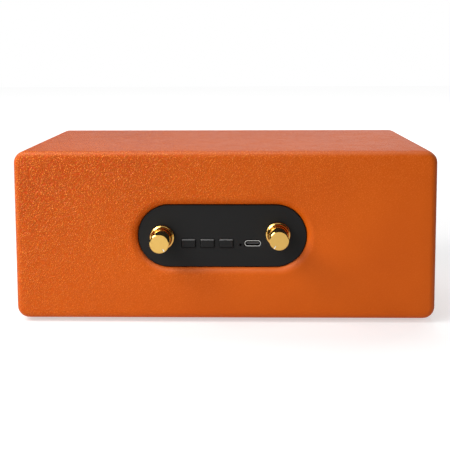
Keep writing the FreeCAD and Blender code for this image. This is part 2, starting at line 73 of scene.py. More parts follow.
def newMaterial(name, **sockets):  # a Principled surface with its uniform values on its own sockets
    material = bpy.data.materials.new(name)
    material.use_nodes = True
    tree = material.node_tree
    tree.nodes.clear()
    surface = addNode(tree, "ShaderNodeBsdfPrincipled", **sockets)
    addNode(tree, "ShaderNodeOutputMaterial", Surface=surface.outputs[0])
    return material, tree, surface


def place(tree, centre=(0, 0, 0)):  # object coordinates, centred on one piece
    where = addNode(tree, "ShaderNodeTexCoord").outputs["Object"]
    return addNode(tree, "ShaderNodeMapping", {"vector_type": "POINT"}, Vector=where,
                   Location=tuple(-c for c in centre)).outputs[0]


def perMetre(sizeMm):  # texture scale for a pattern this many millimetres across
    return 1 / (sizeMm * mm)


def ramp(tree, factor, low, high, start=0.0, end=1.0):  # two colours along a factor
    node = addNode(tree, "ShaderNodeValToRGB", Fac=factor)
    first, last = node.color_ramp.elements
    first.position, last.position = start, end
    first.color, last.color = low, high
    return node.outputs["Color"]


def bumps(tree, surface, height, depthMm, strength=1.0, under=None):
    node = addNode(tree, "ShaderNodeBump", Strength=strength, Distance=depthMm * mm, Height=height)
    if under is not None:
        tree.links.new(under, node.inputs["Normal"])
    tree.links.new(node.outputs[0], surface.inputs["Normal"])
    return node.outputs[0]


def finishPiece(name, mesh, material, body="cabinet", smooth=True):
    piece = bpy.data.objects.new(name, mesh)
    bpy.context.scene.collection.objects.link(piece)
    mesh.materials.clear()
    mesh.materials.append(material)
    mesh.polygons.foreach_set("use_smooth", [smooth] * len(mesh.polygons))
    if body:
        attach(piece, body)
    return piece


hide = {
    "pebble": 0.8, "turn": (24, -45, 10), "stretch": (0.5, 1.0, 1.25),  # mm, degrees, scale each way
    "wander": 3.0, "shift": 0.8 * mm, "fold": 7.0, "dyePatch": 42.0, "crease": 0.42,
    "looseEnd": -0.26, "tightEnd": -0.02, "tightest": 0.12, "easing": 1.4,  # how the grain fades along the hide
    # besides real tones, the next two lines set painted light: shade for the creases, a highlight for the
    # pebbles and for the upper edges
    "edgeGrain": 0.7, "creaseShade": -0.42, "pebbleHighlight": 1.58,
    "tones": ("cb5708", "d05b0a"), "wearAndGrainShading": (0.26, 0.13, 0.028), "edgeHighlight": (0.06, 0.06, 0.045),
    "rough": (0.37, 0.47), "foldDepth": 0.3, "pebbleDepth": 0.5,
}


def pebbledLeather():  # dyed tan hide with an embossed pebble grain: crisp creases, small glints, soft gloss; painted shade in the creases, painted highlights on the pebbles and on the upper edges
    material, tree, surface = newMaterial("dyedPebbledHide", Roughness=0.42, IOR=1.45, Specular_IOR_Level=0.18)
    spot = place(tree)
    wander = addNode(tree, "ShaderNodeTexNoise", Vector=spot, Scale=perMetre(hide["wander"]), Detail=2.0,
                     Roughness=0.5)
    shift = addNode(tree, "ShaderNodeVectorMath", {"operation": "SCALE"}, i0=wander.outputs["Color"],
                    Scale=hide["shift"])
    bent = addNode(tree, "ShaderNodeVectorMath", {"operation": "ADD"}, i0=spot, i1=shift.outputs[0])
    drawn = addNode(tree, "ShaderNodeMapping", {"vector_type": "POINT"}, Vector=bent.outputs[0],
                    Rotation=tuple(math.radians(angle) for angle in hide["turn"]))
    longer = addNode(tree, "ShaderNodeMapping", {"vector_type": "POINT"}, Vector=drawn.outputs[0],
                     Scale=hide["stretch"])
    pebbles = addNode(tree, "ShaderNodeTexVoronoi", {"feature": "DISTANCE_TO_EDGE"}, Vector=longer.outputs[0],
                      Scale=perMetre(hide["pebble"]), Randomness=0.85)  # drawn out along one diagonal
    folds = addNode(tree, "ShaderNodeTexNoise", Vector=spot, Scale=perMetre(hide["fold"]), Detail=3.0,
                    Roughness=0.55)
    dye = addNode(tree, "ShaderNodeTexNoise", Vector=spot, Scale=perMetre(hide["dyePatch"]), Detail=2.0,
                  Roughness=0.5)
    domes = addNode(tree, "ShaderNodeMapRange", {"interpolation_type": "SMOOTHSTEP"},
                    Value=pebbles.outputs["Distance"], From_Min=0.0, From_Max=hide["crease"])
    across = addNode(tree, "ShaderNodeSeparateXYZ", Vector=spot)
    slack = addNode(tree, "ShaderNodeMath", {"operation": "MULTIPLY_ADD"}, i0=across.outputs["Z"], i1=-2.0,
                    i2=across.outputs["X"])
    loose = addNode(tree, "ShaderNodeMapRange", Value=slack.outputs[0], From_Min=hide["looseEnd"],
                    From_Max=hide["tightEnd"], To_Min=1.0, To_Max=hide["tightest"])
    eased = addNode(tree, "ShaderNodeMath", {"operation": "POWER"}, i0=loose.outputs[0], i1=hide["easing"])
    normal = addNode(tree, "ShaderNodeNewGeometry").outputs["Normal"]
    facing = addNode(tree, "ShaderNodeVectorMath", {"operation": "ABSOLUTE"}, i0=normal)
    parts = addNode(tree, "ShaderNodeSeparateXYZ", Vector=facing.outputs[0])
    wider = addNode(tree, "ShaderNodeMath", {"operation": "MAXIMUM"}, i0=parts.outputs["X"],
                    i1=parts.outputs["Y"])
    flat = addNode(tree, "ShaderNodeMath", {"operation": "MAXIMUM"}, i0=wider.outputs[0], i1=parts.outputs["Z"])
    overEdge = addNode(tree, "ShaderNodeMapRange", Value=flat.outputs[0], From_Min=0.8, From_Max=0.99,
                       To_Min=hide["edgeGrain"], To_Max=1.0)
    grain = addNode(tree, "ShaderNodeMath", {"operation": "MULTIPLY"}, i0=eased.outputs[0],
                    i1=overEdge.outputs[0])  # the hide is pulled smooth towards one end and over the edges; the painted shade and highlight of the grain fade with it
    raised = addNode(tree, "ShaderNodeMath", {"operation": "MULTIPLY"}, i0=domes.outputs[0],
                    i1=grain.outputs[0])
    tone = ramp(tree, dye.outputs["Fac"], *(fromHex(colour) for colour in hide["tones"]), 0.35, 0.65)
    # painted light: the pebble pattern sets painted shade in the creases and a painted highlight on the pebbles
    paintedGrainShading = addNode(tree, "ShaderNodeMapRange", Value=domes.outputs[0], To_Min=hide["creaseShade"],
                     To_Max=hide["pebbleHighlight"])
    depth = addNode(tree, "ShaderNodeMath", {"operation": "MULTIPLY"}, i0=paintedGrainShading.outputs[0],
                    i1=grain.outputs[0])
    grainShadingColour = addNode(tree, "ShaderNodeVectorMath", {"operation": "SCALE"}, i0=hide["wearAndGrainShading"],
                   Scale=depth.outputs[0])  # painted shade darkens the creases and a painted highlight lightens the pebbles, paler on the whole where the grain is deepest
    dyedAndShaded = addNode(tree, "ShaderNodeVectorMath", {"operation": "ADD"}, i0=tone, i1=grainShadingColour.outputs[0])
    # painted highlight mask: rounded edges that face up
    upward = addNode(tree, "ShaderNodeSeparateXYZ", Vector=normal)
    corner = addNode(tree, "ShaderNodeMapRange", Value=flat.outputs[0], From_Min=0.75, From_Max=0.99,
                     To_Min=1.0, To_Max=0.0)
    edgeHighlightMask = addNode(tree, "ShaderNodeMath", {"operation": "MULTIPLY", "use_clamp": True},
                      i0=corner.outputs[0], i1=upward.outputs["Z"])
    paintedTopHighlight = addNode(tree, "ShaderNodeVectorMath", {"operation": "SCALE"}, i0=hide["edgeHighlight"],
                     Scale=edgeHighlightMask.outputs[0])  # painted highlight: the upper rounded edges are painted paler, as if lit from above
    toneWithPaintedLight = addNode(tree, "ShaderNodeVectorMath", {"operation": "ADD"}, i0=dyedAndShaded.outputs[0],
                    i1=paintedTopHighlight.outputs[0])
    tree.links.new(toneWithPaintedLight.outputs[0], surface.inputs["Base Color"])
    sheen = addNode(tree, "ShaderNodeMapRange", Value=folds.outputs["Fac"], From_Min=0.3, From_Max=0.7,
                    To_Min=hide["rough"][0], To_Max=hide["rough"][1])
    tree.links.new(sheen.outputs[0], surface.inputs["Roughness"])
    large = bumps(tree, surface, folds.outputs["Fac"], hide["foldDepth"], 0.4)
    bumps(tree, surface, raised.outputs[0], hide["pebbleDepth"], 1.0, large)
    return material


def mouldedAbs(name, colour, roughness, paintedTopHighlight=None):  # spark-eroded mould: even, fine, dry texture, weak gloss
    material, tree, surface = newMaterial(name, Base_Color=fromHex(colour), Roughness=roughness, IOR=1.53,
                                          Specular_IOR_Level=0.15)
    spot = place(tree)
    spark = addNode(tree, "ShaderNodeTexNoise", Vector=spot, Scale=perMetre(0.3), Detail=3.0, Roughness=0.65)
    wearAndGrainShading = addNode(tree, "ShaderNodeTexNoise", Vector=spot, Scale=perMetre(16.0), Detail=2.0)
    polish = addNode(tree, "ShaderNodeMapRange", Value=wearAndGrainShading.outputs["Fac"], From_Min=0.3, From_Max=0.7,
                     To_Min=roughness - 0.05, To_Max=roughness + 0.05)
    tree.links.new(polish.outputs[0], surface.inputs["Roughness"])
    if paintedTopHighlight:  # painted highlight: surfaces that face up are painted paler, as if lit from above
        normal = addNode(tree, "ShaderNodeNewGeometry").outputs["Normal"]
        facing = addNode(tree, "ShaderNodeSeparateXYZ", Vector=normal)
        topHighlightTone = ramp(tree, facing.outputs["Z"], fromHex(colour), fromHex(paintedTopHighlight), 0.1, 0.6)
        tree.links.new(topHighlightTone, surface.inputs["Base Color"])
    bumps(tree, surface, spark.outputs["Fac"], 0.02, 0.5)
    return material


plating = {"face": 4.95 * mm, "barrelRough": 0.07, "faceRough": 0.36,
           "spin": 0.16}  # mm between tool marks: real ones are finer, drawn coarser so that the spin shows


def platedBrass(name, centre):  # turned brass, gold-plated: mirror barrel, end face with a fine lathe spin
    material, tree, surface = newMaterial(name, Metallic=1.0, Base_Color=fromHex("f1c46c"), Roughness=0.12)
    spot = place(tree, centre)
    parts = addNode(tree, "ShaderNodeSeparateXYZ", Vector=spot)
    flat = addNode(tree, "ShaderNodeCombineXYZ", X=parts.outputs["X"], Y=parts.outputs["Z"])
    radius = addNode(tree, "ShaderNodeVectorMath", {"operation": "LENGTH"}, i0=flat.outputs[0])
    lathe = addNode(tree, "ShaderNodeTexNoise", {"noise_dimensions": "1D"}, W=radius.outputs["Value"],
                    Scale=perMetre(plating["spin"]), Detail=2.0)
    facing = addNode(tree, "ShaderNodeNewGeometry")
    towards = addNode(tree, "ShaderNodeSeparateXYZ", Vector=facing.outputs["Normal"])
    onFace = addNode(tree, "ShaderNodeMapRange", Value=towards.outputs["Y"], From_Min=-0.999, From_Max=-0.98,
                     To_Min=1.0, To_Max=0.0)
    inside = addNode(tree, "ShaderNodeMath", {"operation": "LESS_THAN"}, i0=radius.outputs["Value"],
                     i1=plating["face"])
    spun = addNode(tree, "ShaderNodeMath", {"operation": "MULTIPLY"}, i0=onFace.outputs[0],
                   i1=inside.outputs[0])
    rough = addNode(tree, "ShaderNodeMapRange", Value=spun.outputs[0], To_Min=plating["barrelRough"],
                    To_Max=plating["faceRough"])
    tree.links.new(rough.outputs[0], surface.inputs["Roughness"])
    ridges = addNode(tree, "ShaderNodeMath", {"operation": "MULTIPLY"}, i0=lathe.outputs["Fac"],
                     i1=spun.outputs[0])
    bumps(tree, surface, ridges.outputs[0], 0.012, 0.7)
    return material


def bareMetal(name, colour, roughness, grainMm=0.4):  # rolled or turned metal with a faint handling haze
    material, tree, surface = newMaterial(name, Metallic=1.0, Base_Color=fromHex(colour), Roughness=roughness)
    spot = place(tree)
    haze = addNode(tree, "ShaderNodeTexNoise", Vector=spot, Scale=perMetre(6.0), Detail=3.0)
    spread = addNode(tree, "ShaderNodeMapRange", Value=haze.outputs["Fac"], From_Min=0.3, From_Max=0.7,
                     To_Min=roughness - 0.05, To_Max=roughness + 0.07)
    tree.links.new(spread.outputs[0], surface.inputs["Roughness"])
    grain = addNode(tree, "ShaderNodeTexNoise", Vector=spot, Scale=perMetre(grainMm), Detail=2.0)
    bumps(tree, surface, grain.outputs["Fac"], 0.008, 0.4)
    return material


def coated(name, colour, roughness, texture, depthMm, flecks=None, **extra):  # paint, rubber, card and the like
    material, tree, surface = newMaterial(name, Roughness=roughness, Base_Color=fromHex(colour), **extra)
    spot = place(tree)
    grain = addNode(tree, "ShaderNodeTexNoise", Vector=spot, Scale=perMetre(texture), Detail=4.0, Roughness=0.6)
    if flecks:
        tone = ramp(tree, grain.outputs["Fac"], fromHex(colour), fromHex(flecks), 0.35, 0.7)
        tree.links.new(tone, surface.inputs["Base Color"])
    bumps(tree, surface, grain.outputs["Fac"], depthMm, 0.6)
    return material


def spunYarn():  # acoustic grille cloth of dyed polyester yarn: dull, with a slight fuzz
    material, tree, surface = newMaterial("wovenGrilleYarn", Roughness=0.86, IOR=1.46, Sheen_Weight=0.35,
                                          Sheen_Roughness=0.4)
    spot = place(tree)
    fibre = addNode(tree, "ShaderNodeTexNoise", Vector=spot, Scale=perMetre(0.35), Detail=3.0, Roughness=0.7)
    tone = ramp(tree, fibre.outputs["Fac"], fromHex("211e1b"), fromHex("3d3833"), 0.3, 0.7)
    tree.links.new(tone, surface.inputs["Base Color"])
    bumps(tree, surface, fibre.outputs["Fac"], 0.05, 0.6)
    return material


def ringed(name, colour, gapShade, axisX, axisZ, stepMm, roughness, metallic=0.0):  # wound in rings along Y, with painted shade in the gaps between turns
    material, tree, surface = newMaterial(name, Roughness=roughness, Metallic=metallic)
    spot = place(tree, (axisX, 0, axisZ))
    along = addNode(tree, "ShaderNodeTexWave", {"wave_type": "BANDS", "bands_direction": "Y"}, Vector=spot,
                    Scale=perMetre(stepMm) / 20 * math.pi, Distortion=0.0)  # a ridge and a gap, one step each
    # painted shade: the gaps between turns are darker
    tone = ramp(tree, along.outputs["Fac"], fromHex(gapShade), fromHex(colour), 0.1, 0.6)
    tree.links.new(tone, surface.inputs["Base Color"])
    bumps(tree, surface, along.outputs["Fac"], 0.08, 0.8)
    return material


def glassEpoxy():  # green solder mask over woven glass board
    material, tree, surface = newMaterial("solderMaskedBoard", Roughness=0.32, IOR=1.55, Coat_Weight=0.3)
    spot = place(tree)
    weave = addNode(tree, "ShaderNodeTexChecker", Vector=spot, Scale=perMetre(0.8))
    tone = ramp(tree, weave.outputs["Fac"], fromHex("0d3a20"), fromHex("114526"))
    tree.links.new(tone, surface.inputs["Base Color"])
    copper = addNode(tree, "ShaderNodeTexVoronoi", {"feature": "DISTANCE_TO_EDGE"}, Vector=spot,
                     Scale=perMetre(5.0))
    bumps(tree, surface, copper.outputs["Distance"], 0.03, 0.4)
    return material


knobBoxes = {side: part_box("pot_shaft_" + side) for side in ("left", "right")}


def middle(box):
    return tuple((low + high) / 2 for low, high in zip(*box))


leather = pebbledLeather()
panelPlastic = mouldedAbs("sparkTexturedAbs", "1b1b1b", 0.48)
# the buttons get a painted highlight on their upper edges
capPlastic = mouldedAbs("satinAbsButtons", "1a1a1a", 0.40, paintedTopHighlight="6e6e6e")
innerPlastic = mouldedAbs("mouldedAbsInside", "1c1c1d", 0.55)
knobMetal = {side: platedBrass("goldPlatedBrass" + side.title(), middle(box))
             for side, box in knobBoxes.items()}
nickel = bareMetal("nickelPlatedSteel", "c9c8c4", 0.22)
zinc = bareMetal("zincPlatedSteel", "a9aaa8", 0.34)
spunAluminium = bareMetal("satinAluminium", "cfd0d2", 0.30)
blackAluminium = bareMetal("anodisedAluminium", "1b1b1e", 0.38)
brass = bareMetal("turnedBrass", "c79a4b", 0.25)
yarn = spunYarn()
backing = coated("feltBacking", "141312", 0.95, 0.8, 0.1)
feltRubber = coated("mouldedRubber", "1a1a1a", 0.72, 0.35, 0.03)
rollRubber = coated("butylRubber", "101010", 0.42, 1.2, 0.03)
foam = coated("openCellFoam", "1d1c1c", 0.95, 0.7, 0.3, "0c0c0c")
fibreboard = coated("sawnFibreboard", "8d6a45", 0.85, 0.9, 0.08, "a98458")
pulp = coated("pressedPaperPulp", "161514", 0.88, 0.6, 0.08, "24221f")
powderCoat = coated("powderCoatedSteel", "151515", 0.45, 0.5, 0.03)
ferrite = coated("sinteredFerrite", "26262a", 0.55, 0.8, 0.03, "303036")
resinCloth = coated("resinedCottonSpider", "8f6a2c", 0.75, 0.7, 0.1, "a9803a")
shrinkSleeve = coated("shrunkPvcSleeve", "1f4f86", 0.28, 3.0, 0.03)
epoxy = coated("mouldedEpoxy", "121214", 0.42, 0.5, 0.02)
clear = newMaterial("mouldedAcrylic", Roughness=0.08, IOR=1.49, Base_Color=fromHex("dfe3e6"),
                    Transmission_Weight=0.7)[0]
tonguePlastic = mouldedAbs("glassFilledNylon", "48484a", 0.5)
smoked = coated("smokedAcrylic", "030303", 0.3, 0.5, 0.005, Specular_IOR_Level=0.1)
board = glassEpoxy()
windings = {}
for side in ("left", "right"):
    x, _, z = middle(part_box("voice_coil_" + side))
    windings[side] = ringed("enamelledCopper" + side.title(), "b4622c", "5a2a12", x, z, 0.25, 0.35, 0.8)

nodeFinish = {
    "leather_wrap": leather, "cabinet_shell": fibreboard, "baffle_ledge": fibreboard, "baffle": fibreboard,
    "foam_seals": foam, "feet": feltRubber, "control_panel": panelPlastic, "light_pipe": smoked,
    "charge_light": clear,
    "control_board": board, "amp_board": board, "switch_cases": innerPlastic, "usb_tongue": tonguePlastic,
    "usb_shell": nickel, "grille_cloth": backing, "grille_frame": innerPlastic, "grille_cups": feltRubber,
    "short_screws": zinc, "baffle_screws": zinc, "board_screws": zinc, "battery_screws": zinc,
    "pot_nuts": nickel,
    "radiator_frame": powderCoat, "radiator_surround": rollRubber, "radiator_plate": spunAluminium,
    "radiator_weight": powderCoat, "amp_posts": brass, "amp_heatsink": blackAluminium, "amp_parts": epoxy,
    "battery_tray": innerPlastic, "battery_cells": shrinkSleeve,
}
for number in "123":
    nodeFinish["button_cap_" + number] = capPlastic
    nodeFinish["switch_plunger_" + number] = innerPlastic
for side in ("left", "right"):
    nodeFinish.update({
        "knob_" + side: knobMetal[side], "pot_case_" + side: zinc, "pot_shaft_" + side: nickel,
        "driver_frame_" + side: powderCoat, "surround_" + side: rollRubber, "cone_" + side: pulp,
        "dust_cap_" + side: pulp, "voice_coil_" + side: windings[side], "spider_" + side: resinCloth,
        "motor_plates_" + side: zinc, "magnet_" + side: ferrite,
    })
for name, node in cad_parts.items():
    node.data.materials.clear()
    node.data.materials.append(nodeFinish[name])
print("finishes on", len(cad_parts), "parts")

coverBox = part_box("leather_wrap")
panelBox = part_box("control_panel")
cover = {
    "longEdge": 6.5 * mm, "rim": 4.0 * mm,  # radii of the cabinet's edges
    "recessHalf": (46.3 * mm, 17.4 * mm), "lip": 4.5 * mm, "recessDepth": 9.1 * mm,
    "pocketBack": 8.9 * mm, "pocketWall": 9.4 * mm, "pocketRadius": 1.8 * mm, "frontLip": 2.2 * mm,
    "thick": 1.0 * mm, "around": 440,
    "dish": 0.35 * mm, "dishRight": 0.45 * mm, "dishReach": 9.0 * mm,  # how the hide sinks towards the recess
    "recessRings": (8.0, 6.5), "dishRings": (0.7, 1.5, 2.5, 3.7, 5.0), "pocketRings": (4.0, 6.5),  # mm
    "lipSteps": 12, "faceSteps": 12, "edgeSteps": 8, "sideSteps": 12,
}


def leatherCover():
    low, high = (np.array(c) for c in coverBox)
    halfX, halfZ = (high[0] - low[0]) / 2, (high[2] - low[2]) / 2
    centreZ = (low[2] + high[2]) / 2
    recess = np.array([(panelBox[0][0] + panelBox[1][0]) / 2, (panelBox[0][2] + panelBox[1][2]) / 2 - centreZ])
    rim, lip, front = cover["rim"], cover["lip"], cover["frontLip"]

    def evenRing(count, a, b, r):  # points spaced evenly round a rectangle with round corners
        straightX, straightZ, turn = 2 * (a - r), 2 * (b - r), r * math.pi / 2
        total = 2 * (straightX + straightZ) + 4 * turn
        ring = []
        for i in range(count):
            s = (i + 0.5) * total / count
            for length, corner, start in ((straightX, (1, 1), (-1, 1)), (straightZ, (1, -1), (1, 1)),
                                          (straightX, (-1, -1), (1, -1)), (straightZ, (-1, 1), (-1, -1))):
                if s < length:
                    along = (corner[0] - start[0], corner[1] - start[1])
                    x = start[0] * (a - r) + along[0] / 2 * s + (start[0] * r if not along[0] else 0)
                    z = start[1] * (b - r) + along[1] / 2 * s + (start[1] * r if not along[1] else 0)
                    ring.append((x, z))
                    break
                s -= length
                if s < turn:
                    angle = math.atan2(*(corner[::-1])) + math.pi / 4 - s / r
                    ring.append((corner[0] * (a - r) + r * math.cos(angle),
                                 corner[1] * (b - r) + r * math.sin(angle)))
                    break
                s -= turn
        return np.array(ring)

    ways = evenRing(cover["around"], halfX, halfZ, cover["longEdge"])

    def ringAt(centre, a, b, r):  # where rays from the centre cross a rounded rectangle
        towards = ways - centre
        towards /= np.linalg.norm(towards, axis=1)[:, None]
        near, far = np.zeros(len(ways)), np.full(len(ways), halfX * 2)
        for _ in range(48):
            reach = (near + far) / 2
            point = np.abs(towards * reach[:, None]) - np.array([a - r, b - r])
            gap = np.linalg.norm(np.maximum(point, 0), axis=1) + np.minimum(point.max(axis=1), 0) - r
            near, far = np.where(gap < 0, reach, near), np.where(gap < 0, far, reach)
        return towards * near[:, None] + centre

    recessA, recessB = cover["recessHalf"]
    middleOfFace = np.zeros(2)

    def stadiumRing(grow):
        return ringAt(recess, recessA + grow, recessB + grow, recessB + grow - 1e-6)

    rightness = np.clip((ways[:, 0] - recess[0]) / halfX, 0, 1)
    sink = cover["dish"] + cover["dishRight"] * rightness ** 2

    def dish(distance):
        return sink * np.exp(-(distance / cover["dishReach"]) ** 2)

    rings = [(stadiumRing(0), np.full(len(ways), cover["recessDepth"]))]
    for depth in cover["recessRings"]:
        rings.append((stadiumRing(0), np.full(len(ways), depth * mm)))
    for step in range(cover["lipSteps"] + 1):
        angle = math.radians(90 - 90 * step / cover["lipSteps"])
        sunk = lip * (1 - math.cos(angle)) + dish(0) * math.cos(angle)
        rings.append((stadiumRing(lip * (1 - math.sin(angle))), sunk))
    lipEdge = rings[-1][0]
    for distance in cover["dishRings"]:
        rings.append((stadiumRing(lip + distance * mm), dish(distance * mm)))
    last, edge = rings[-1][0], ringAt(middleOfFace, halfX - rim, halfZ - rim, cover["longEdge"] - rim)
    for step in range(1, cover["faceSteps"] + 1):
        ring = last + (edge - last) * step / cover["faceSteps"]
        fromRecess = np.linalg.norm(ring - lipEdge, axis=1)
        fade = 1 - (step / cover["faceSteps"]) ** 3
        rings.append((ring, dish(fromRecess) * fade))

    def overEdge(step):  # one ring on the rounded edge, and how far behind the face it lies
        angle = math.radians(90 * step / cover["edgeSteps"])
        grow = rim * math.sin(angle)
        ring = ringAt(middleOfFace, halfX - rim + grow, halfZ - rim + grow, cover["longEdge"] - rim + grow)
        return ring, rim * (1 - math.cos(angle))

    for step in range(1, cover["edgeSteps"] + 1):
        ring, depth = overEdge(step)
        rings.append((ring, np.full(len(ways), depth)))
    full, length = rings[-1][0], high[1] - low[1]
    for step in range(1, cover["sideSteps"]):
        rings.append((full, np.full(len(ways), rim + (length - 2 * rim) * step / cover["sideSteps"])))
    for step in range(cover["edgeSteps"], -1, -1):
        ring, depth = overEdge(step)
        rings.append((ring, np.full(len(ways), length - depth)))
    wall, radius = cover["pocketWall"], cover["pocketRadius"]
    for step in range(cover["edgeSteps"] + 1):
        angle = math.radians(90 * step / cover["edgeSteps"])
        grow = front * (1 - math.sin(angle))
        ring = ringAt(middleOfFace, halfX - wall + grow, halfZ - wall + grow, radius + grow)
        rings.append((ring, np.full(len(ways), length - front * (1 - math.cos(angle)))))
    for depth in (*cover["pocketRings"], cover["pocketBack"] / mm):
        rings.append((rings[-1][0], np.full(len(ways), length - depth * mm)))

    build = bmesh.new()
    loops = []
    for ring, depth in rings:
        loops.append([build.verts.new((x, low[1] + d, centreZ + z)) for (x, z), d in zip(ring, depth)])
    for first, second in zip(loops, loops[1:]):
        for i in range(len(first)):
            j = (i + 1) % len(first)
            build.faces.new((first[i], first[j], second[j], second[i]))
    bmesh.ops.remove_doubles(build, verts=build.verts, dist=1e-7)
    mesh = bpy.data.meshes.new("leatherCover")
    build.to_mesh(mesh)
    build.free()
    piece = finishPiece("leatherCover", mesh, leather, body=None)
    wallOf = piece.modifiers.new("hide", "SOLIDIFY")
    wallOf.thickness, wallOf.offset = cover["thick"], -1.0
    return piece


coverPiece = leatherCover()
faces = coverPiece.data.polygons
outside = sum(1 for f in faces if f.center.z > 0.09 and f.normal.z > 0.9)
print("leather cover:", len(faces), "faces,", outside, "of the top ones point up")
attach(coverPiece, "cabinet")
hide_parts("leather_wrap")

# real yarns lie about 0.7 mm apart: drawn twice as coarse so that the weave shows
grille = {"spacing": 1.5 * mm, "yarn": 0.55 * mm, "wave": 0.36 * mm, "edge": 0.7 * mm, "proud": 0.35 * mm,
          "stray": 0.05 * mm, "sides": 5, "perCrossing": 2, "seed": 7}


def weaveTree(material):  # one set of parallel yarns, every other one half a wave out of step
    tree = bpy.data.node_groups.new("parallelYarns", "GeometryNodeTree")
    face = tree.interface
    for name, kind in (("Length", "Float"), ("Spacing", "Float"), ("Yarns", "Int"), ("Crossings", "Int"),
                       ("Yarn Radius", "Float"), ("Wave", "Float"), ("Centre", "Vector"), ("Turn", "Vector"),
                       ("Seed", "Int"), ("Sides", "Int"), ("Per Crossing", "Int")):
        face.new_socket(name, in_out="INPUT", socket_type="NodeSocket" + kind)
    face.new_socket("Geometry", in_out="OUTPUT", socket_type="NodeSocketGeometry")
    given = tree.nodes.new("NodeGroupInput").outputs

    def maths(operation, a, b=0.0):
        return addNode(tree, "ShaderNodeMath", {"operation": operation}, i0=a, i1=b).outputs[0]

    half = maths("MULTIPLY", given["Length"], 0.5)
    begin = addNode(tree, "ShaderNodeCombineXYZ", X=maths("MULTIPLY", half, -1.0))
    finish = addNode(tree, "ShaderNodeCombineXYZ", X=half)
    line = addNode(tree, "GeometryNodeCurvePrimitiveLine", Start=begin.outputs[0], End=finish.outputs[0])
    points = maths("ADD", maths("MULTIPLY", given["Crossings"], given["Per Crossing"]), 1.0)
    even = addNode(tree, "GeometryNodeResampleCurve", {"mode": "COUNT"}, Curve=line.outputs[0], Count=points)
    where = addNode(tree, "ShaderNodeSeparateXYZ", Vector=addNode(tree, "GeometryNodeInputPosition").outputs[0])
    steps = maths("DIVIDE", maths("ADD", where.outputs["X"], half), given["Spacing"])
    lift = maths("MULTIPLY", maths("COSINE", maths("MULTIPLY", steps, math.pi)), given["Wave"])
    section = addNode(tree, "GeometryNodeCurvePrimitiveCircle", Resolution=given["Sides"],
                      Radius=given["Yarn Radius"])
    yarns = []
    for sign in (1.0, -1.0):
        offset = addNode(tree, "ShaderNodeCombineXYZ", Z=maths("MULTIPLY", lift, sign))
        waved = addNode(tree, "GeometryNodeSetPosition", Geometry=even.outputs[0], Offset=offset.outputs[0])
        yarns.append(addNode(tree, "GeometryNodeCurveToMesh", Curve=waved.outputs[0],
                             Profile_Curve=section.outputs[0], Fill_Caps=True))
    first = maths("MULTIPLY", maths("SUBTRACT", given["Yarns"], 1.0), maths("MULTIPLY", given["Spacing"], -0.5))
    rows = addNode(tree, "GeometryNodeMeshLine", Count=given["Yarns"],
                   Start_Location=addNode(tree, "ShaderNodeCombineXYZ", Y=first).outputs[0],
                   Offset=addNode(tree, "ShaderNodeCombineXYZ", Y=given["Spacing"]).outputs[0])
    stray = addNode(tree, "FunctionNodeRandomValue", {"data_type": "FLOAT"}, Seed=given["Seed"],
                    i2=-grille["stray"], i3=grille["stray"])
    slack = addNode(tree, "ShaderNodeCombineXYZ", Y=stray.outputs[1])
    loose = addNode(tree, "GeometryNodeSetPosition", Geometry=rows.outputs[0], Offset=slack.outputs[0])
    odd = maths("MODULO", addNode(tree, "GeometryNodeInputIndex").outputs[0], 2.0)
    both = addNode(tree, "GeometryNodeJoinGeometry")
    for yarnMesh, chosen in zip(yarns, (odd, maths("SUBTRACT", 1.0, odd))):
        laid = addNode(tree, "GeometryNodeInstanceOnPoints", Points=loose.outputs[0], Selection=chosen,
                       Instance=yarnMesh.outputs[0])
        tree.links.new(laid.outputs[0], both.inputs[0])
    turned = addNode(tree, "GeometryNodeTransform", Geometry=both.outputs[0], Translation=given["Centre"],
                     Rotation=given["Turn"])
    solid = addNode(tree, "GeometryNodeRealizeInstances", Geometry=turned.outputs[0])
    painted = addNode(tree, "GeometryNodeSetMaterial", Geometry=solid.outputs[0], Material=material)
    end = tree.nodes.new("NodeGroupOutput")
    tree.links.new(painted.outputs[0], end.inputs[0])
    return tree


def grown(name, tree, values, material, body, smooth=True):  # runs a tree once and keeps its mesh
    holder = bpy.data.objects.new(name + "Maker", bpy.data.meshes.new(name + "Seed"))
    bpy.context.scene.collection.objects.link(holder)
    modifier = holder.modifiers.new("maker", "NODES")
    modifier.node_group = tree
    sockets = {s.name: s.identifier for s in tree.interface.items_tree if s.in_out == "INPUT"}
    for key, value in values.items():
        modifier[sockets[key]] = value
    bpy.context.view_layer.update()
    evaluated = holder.evaluated_get(bpy.context.evaluated_depsgraph_get())
    mesh = bpy.data.meshes.new_from_object(evaluated)
    holder.modifiers.remove(modifier)
    bpy.data.objects.remove(holder)
    mesh.name = name
    return finishPiece(name, mesh, material, body, smooth)


clothLow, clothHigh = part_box("grille_cloth")
centre = ((clothLow[0] + clothHigh[0]) / 2, clothHigh[1] + grille["proud"], (clothLow[2] + clothHigh[2]) / 2)
acrossX = clothHigh[0] - clothLow[0] - 2 * grille["edge"]
acrossZ = clothHigh[2] - clothLow[2] - 2 * grille["edge"]
countX, countZ = (2 * int(across / grille["spacing"] / 2) for across in (acrossX, acrossZ))
yarnTree = weaveTree(yarn)
for name, crossings, yarns, turn in (("grilleWeft", countX, countZ, (math.pi / 2, 0.0, 0.0)),
                                     ("grilleWarp", countZ, countX, (math.pi / 2, math.pi / 2, 0.0))):
    piece = grown(name, yarnTree, {
        "Length": crossings * grille["spacing"], "Spacing": grille["spacing"], "Yarns": yarns,
        "Crossings": crossings, "Yarn Radius": grille["yarn"], "Wave": grille["wave"], "Centre": centre,
        "Turn": turn, "Seed": grille["seed"], "Sides": grille["sides"], "Per Crossing": grille["perCrossing"],
    }, yarn, "cabinet")
    print(name, len(piece.data.polygons), "faces")

contacts = {"count": 12, "pitch": 0.5 * mm, "wide": 0.26 * mm, "long": 3.2 * mm, "thick": 0.05 * mm,
            "setBack": 0.5 * mm, "halfTongue": 0.35 * mm}


